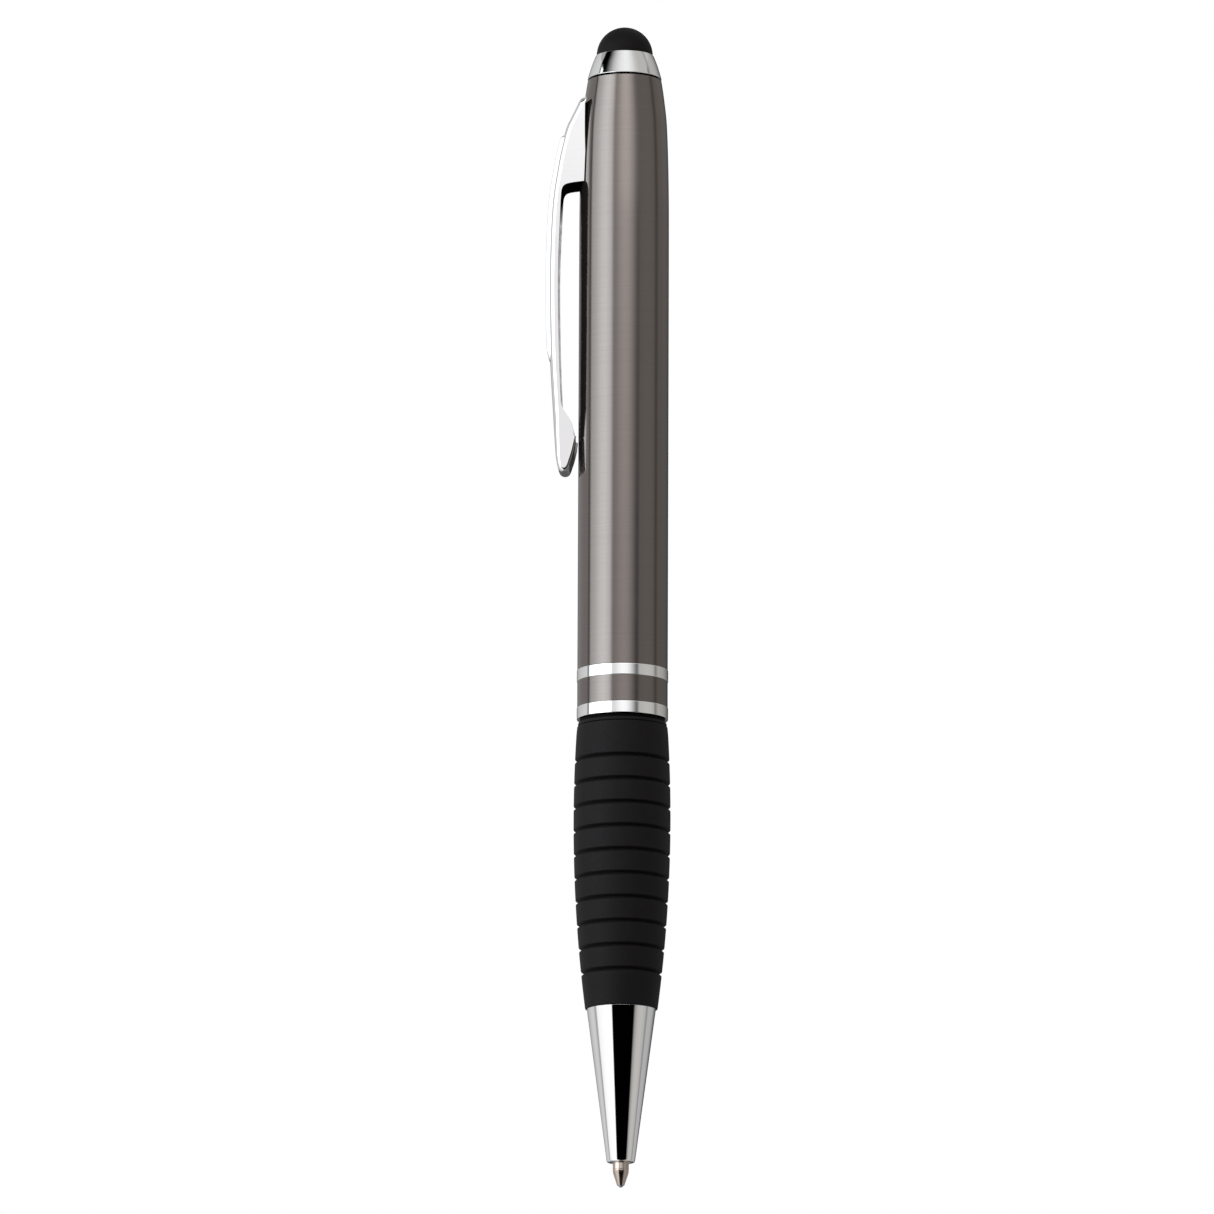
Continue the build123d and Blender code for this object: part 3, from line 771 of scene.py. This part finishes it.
CAMERA_AZIMUTH = 3.0     # degrees from -Y towards +X
CAMERA_ELEVATION = -11.0
CAMERA_DISTANCE = 1.35   # metres
CAMERA_LENS = 338.0      # mm
AIM_Z = 13.62 * MM
AIM_LEFT = 1.87 * MM
LEAN = 0.22              # degrees that the pen's top leans to the picture's right

# Light round the pen at four heights: (azimuth from the camera, level, tint), azimuth
# growing towards the picture's right. Soft boxes, grey cards and gaps between them.
COOL, PLAIN, WARM = (0.93, 1.0, 1.03), (1.0, 1.0, 1.0), (1.02, 1.0, 0.95)
LILAC = (1.015, 0.985, 1.01)
LEVEL_BANDS = [
    (-172, 0.03, PLAIN), (-158, 0.40, PLAIN), (-143, 0.52, PLAIN), (-124, 0.60, PLAIN),
    (-102, 0.66, PLAIN), (-99, 0.24, PLAIN), (-95, 0.24, PLAIN), (-91, 1.6, COOL), (-76, 2.1, COOL),
    (-60, 2.9, COOL), (-48, 3.1, COOL), (-35, 2.5, COOL), (-30, 1.7, COOL), (-26, 0.72, LILAC),
    (-18, 0.78, LILAC), (-10, 0.92, PLAIN), (0, 1.03, PLAIN), (11, 0.96, PLAIN),
    (20, 0.72, PLAIN), (28, 0.40, PLAIN), (34, 0.16, PLAIN), (38, 0.16, PLAIN),
    (43, 0.45, WARM), (62, 0.50, WARM), (78, 0.48, WARM), (86, 0.42, WARM), (90, 0.22, WARM),
    (94, 0.24, WARM), (102, 0.40, WARM), (126, 0.33, WARM), (147, 0.18, PLAIN),
    (166, 0.03, PLAIN)]
UPPER_BANDS = [
    (-172, 0.05, PLAIN), (-158, 0.45, PLAIN), (-143, 0.56, PLAIN), (-124, 0.62, PLAIN),
    (-102, 0.68, PLAIN), (-99, 0.24, PLAIN), (-95, 0.24, PLAIN), (-91, 1.6, COOL), (-76, 2.1, COOL),
    (-60, 2.9, COOL), (-48, 3.1, COOL), (-35, 2.5, COOL), (-30, 1.7, COOL), (-26, 0.95, PLAIN),
    (-18, 1.20, PLAIN), (-8, 1.75, PLAIN), (2, 1.98, PLAIN), (12, 1.85, PLAIN),
    (22, 1.35, PLAIN), (32, 0.72, PLAIN), (40, 0.50, PLAIN), (62, 0.52, WARM),
    (78, 0.50, WARM), (86, 0.42, WARM), (90, 0.22, WARM), (94, 0.26, WARM), (102, 0.45, WARM),
    (126, 0.42, WARM), (147, 0.25, PLAIN), (166, 0.05, PLAIN)]
LOW_BANDS = [
    (-172, 0.10, PLAIN), (-158, 0.48, PLAIN), (-139, 0.55, PLAIN), (-117, 0.66, PLAIN),
    (-105, 0.56, PLAIN), (-100, 0.36, PLAIN), (-96, 0.40, PLAIN), (-91, 0.95, PLAIN),
    (-73, 1.05, PLAIN), (-40, 1.12, PLAIN), (-34, 1.1, PLAIN), (-31, 0.0, PLAIN), (43, 0.0, PLAIN),
    (48, 0.30, WARM), (60, 0.49, WARM), (74, 0.52, WARM), (90, 0.45, WARM),
    (95, 0.27, PLAIN), (99, 0.30, PLAIN), (104, 0.46, PLAIN), (126, 0.44, PLAIN),
    (147, 0.32, PLAIN), (168, 0.10, PLAIN)]
HIGH_BANDS = [
    (-165, 0.30, PLAIN), (-132, 0.28, PLAIN), (-110, 0.40, PLAIN), (-101, 0.42, PLAIN),
    (-96, 0.0, PLAIN), (-74, 0.0, PLAIN), (-68, 0.04, PLAIN), (-58, 0.22, PLAIN),
    (-44, 0.50, PLAIN), (-29, 0.70, PLAIN), (-14, 0.84, PLAIN), (2, 0.90, PLAIN),
    (14, 0.88, PLAIN), (28, 0.76, PLAIN), (43, 0.57, WARM), (58, 0.48, WARM), (88, 0.48, WARM),
    (93, 0.34, PLAIN), (97, 0.35, PLAIN), (103, 0.50, PLAIN), (130, 0.54, PLAIN),
    (165, 0.62, PLAIN)]
TOP_LEVEL = 0.4          # plain light from overhead
LAYER_EDGES = [(2.0, 5.0), (10.5, 15.0), (36.6, 38.0), (62.0, 75.0)]   # degrees up
TINT_HEADROOM = 1.03     # the largest share in a tint
FLOOR_Z = -1.6           # metres
FLOOR_RADIUS = 3.0       # metres


def band_ramp(nodes, bands):
    """A colour ramp over azimuth, 0 for -180 degrees and 1 for 180, and the level of its white."""
    brightest = max(level for _, level, _ in bands) * TINT_HEADROOM
    ramp = nodes.new("ShaderNodeValToRGB")
    elements = ramp.color_ramp.elements
    elements.remove(elements[1])
    for i, (azimuth, level, tint) in enumerate(bands):
        stop = elements[0] if i == 0 else elements.new((azimuth + 180) / 360)
        stop.position = (azimuth + 180) / 360
        stop.color = (*(level / brightest * share for share in tint), 1)
    return ramp, brightest


def blend_by_height(nodes, links, height, start, end, lower, upper):
    """Mix two colours as the direction's elevation goes from start to end, in degrees."""
    place = nodes.new("ShaderNodeMapRange")
    place.interpolation_type = "SMOOTHSTEP"
    place.inputs["From Min"].default_value = math.sin(math.radians(start))
    place.inputs["From Max"].default_value = math.sin(math.radians(end))
    links.new(height, place.inputs["Value"])
    mix = nodes.new("ShaderNodeMix")
    mix.data_type = "RGBA"
    links.new(place.outputs["Result"], mix.inputs["Factor"])
    links.new(lower, mix.inputs["A"])
    links.new(upper, mix.inputs["B"])
    return mix.outputs["Result"]


def studio_light():
    """A world of soft boxes and grey cards; the backdrop itself is plain white."""
    world = bpy.data.worlds.new("studio")
    bpy.context.scene.world = world
    world.use_nodes = True
    nodes, links = world.node_tree.nodes, world.node_tree.links
    place = nodes.new("ShaderNodeTexCoord")
    split = nodes.new("ShaderNodeSeparateXYZ")
    links.new(place.outputs["Generated"], split.inputs[0])
    towards_camera = math_node(nodes, links, "MULTIPLY", split.outputs["Y"], -1.0)
    angle = math_node(nodes, links, "ARCTAN2", split.outputs["X"], towards_camera)
    turns = math_node(nodes, links, "DIVIDE", angle, 2 * math.pi)
    placed = math_node(nodes, links, "ADD", turns, 0.5 - CAMERA_AZIMUTH / 360)
    around = math_node(nodes, links, "FRACT", placed)
    layers = []
    for bands in (LOW_BANDS, LEVEL_BANDS, UPPER_BANDS, HIGH_BANDS):
        ramp, brightest = band_ramp(nodes, bands)
        links.new(around, ramp.inputs["Fac"])
        scale = nodes.new("ShaderNodeVectorMath")
        scale.operation = "SCALE"
        scale.inputs["Scale"].default_value = brightest
        links.new(ramp.outputs["Color"], scale.inputs[0])
        layers.append(scale.outputs["Vector"])
    plain = nodes.new("ShaderNodeRGB")
    plain.outputs[0].default_value = (TOP_LEVEL, TOP_LEVEL, TOP_LEVEL, 1)
    light, *higher = *layers, plain.outputs[0]
    for (start, end), layer in zip(LAYER_EDGES, higher):
        light = blend_by_height(nodes, links, split.outputs["Z"], start, end, light, layer)
    backdrop = nodes.new("ShaderNodeMix")
    backdrop.data_type = "RGBA"
    backdrop.inputs["B"].default_value = (1, 1, 1, 1)
    seen = nodes.new("ShaderNodeLightPath")
    links.new(seen.outputs["Is Camera Ray"], backdrop.inputs["Factor"])
    links.new(light, backdrop.inputs["A"])
    links.new(backdrop.outputs["Result"], nodes["Background"].inputs["Color"])


def studio_floor():
    """A plain pale disc far below the pen, so that it shows only in views from above."""
    mesh = bmesh.new()
    bmesh.ops.create_circle(mesh, cap_ends=True, segments=128, radius=FLOOR_RADIUS)
    data = bpy.data.meshes.new("studio_floor")
    mesh.to_mesh(data)
    mesh.free()
    floor = bpy.data.objects.new("studio_floor", data)
    floor.location.z = FLOOR_Z
    bpy.context.scene.collection.objects.link(floor)
    data.materials.append(shader("pale_floor", (0.9, 0.9, 0.9), 0.0, 0.8,
                                 Emission_Color=(1, 1, 1, 1), Emission_Strength=0.35))
    floor.visible_glossy = False
    floor.visible_diffuse = False


def camera():
    """A long lens that looks slightly up at the pen from a little below its middle."""
    data = bpy.data.cameras.new("camera")
    data.lens = CAMERA_LENS
    data.sensor_width = 36.0
    data.clip_end = 20.0
    eye = bpy.data.objects.new("camera", data)
    bpy.context.scene.collection.objects.link(eye)
    azimuth, elevation = math.radians(CAMERA_AZIMUTH), math.radians(CAMERA_ELEVATION)
    back = Vector((math.sin(azimuth) * math.cos(elevation),
                   -math.cos(azimuth) * math.cos(elevation), math.sin(elevation)))
    right = Vector((math.cos(azimuth), math.sin(azimuth), 0))
    aim = Vector((0, 0, AIM_Z)) - right * AIM_LEFT
    eye.location = aim + back * CAMERA_DISTANCE
    lean = Quaternion((0, 0, 1), math.radians(LEAN))
    eye.rotation_mode = "QUATERNION"
    eye.rotation_quaternion = (-back).to_track_quat("-Z", "Y") @ lean
    bpy.context.scene.camera = eye
    bpy.context.scene.view_settings.view_transform = "Standard"


stylus_dome()
finial()
upper_barrel()
ring("trim_ring_upper", "upper_trim_ring", "chrome", 0.06)
ring("band_between_rings", "center_band", "gunmetal", 0.03)
ring("trim_ring_lower", "lower_trim_ring", "chrome", 0.06)
washer()
grip()
nozzle()
refill_tip()
writing_ball()
clip_arm()
clip_tab()
clip_plate()
dress_cad_nodes()
studio_light()
studio_floor()
camera()
